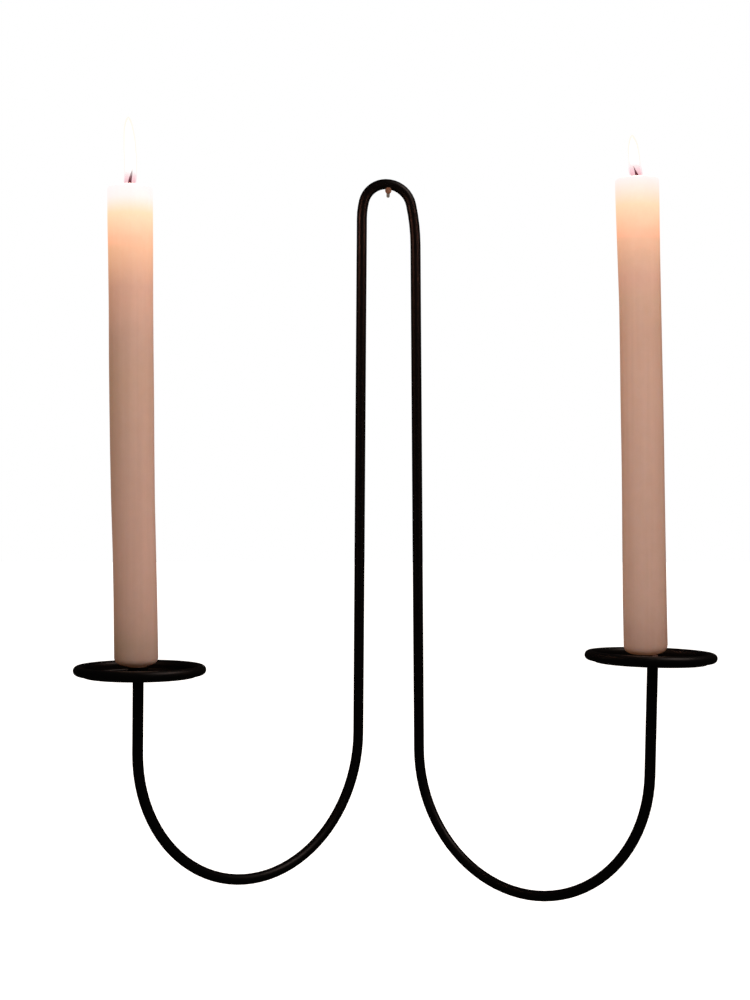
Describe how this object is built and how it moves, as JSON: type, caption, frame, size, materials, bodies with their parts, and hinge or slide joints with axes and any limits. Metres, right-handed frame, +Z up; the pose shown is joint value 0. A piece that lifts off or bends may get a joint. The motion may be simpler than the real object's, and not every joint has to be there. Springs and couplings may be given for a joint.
{
  "type": "wall sconce candle holder",
  "caption": "Bent-rod wall sconce that hangs by its top loop from a nail, with a drip pan and a candle spike on each curved arm.",
  "frame": {"origin": "where the nail's axis meets the wall's face", "axes": "+X to the right as seen from the room, +Y into the wall along the nail, +Z up"},
  "size_m": [0.3163, 0.1407, 0.3798],
  "materials": {
    "black_steel": "satin black lacquer on steel, warm brown in the reflections",
    "edge_wire": "plain steel wire inside the rolled edge",
    "nail_metal": "dull coppery plating",
    "wax": "smooth pinkish beige candle wax, glowing near the flame",
    "wick": "braided cotton, burnt black at its tip"
  },
  "bodies": {
    "nail": {"wall_nail": "nail_metal"},
    "sconce": {"bent_rod": "black_steel", "left_pan": "black_steel", "left_edge_wire": "edge_wire", "left_spike": "black_steel", "right_pan": "black_steel", "right_edge_wire": "edge_wire", "right_spike": "black_steel"},
    "candle_left": {"left_candle": "wax", "left_wick": "wick"},
    "candle_right": {"right_candle": "wax", "right_wick": "wick"}
  },
  "joints": [
    {"name": "sway", "type": "hinge", "parent": "nail", "child": "sconce", "pos_m": [0, 0, 0], "axis": [0, 1, 0], "range_deg": [-12, 12]},
    {"name": "left_candle_lift", "type": "slide", "parent": "sconce", "child": "candle_left", "axis": [0.0018, -0.007, 1], "range_m": [0, 0.035]},
    {"name": "right_candle_lift", "type": "slide", "parent": "sconce", "child": "candle_right", "axis": [0.0209, 0.0034, 0.9998], "range_m": [0, 0.035]}
  ]
}
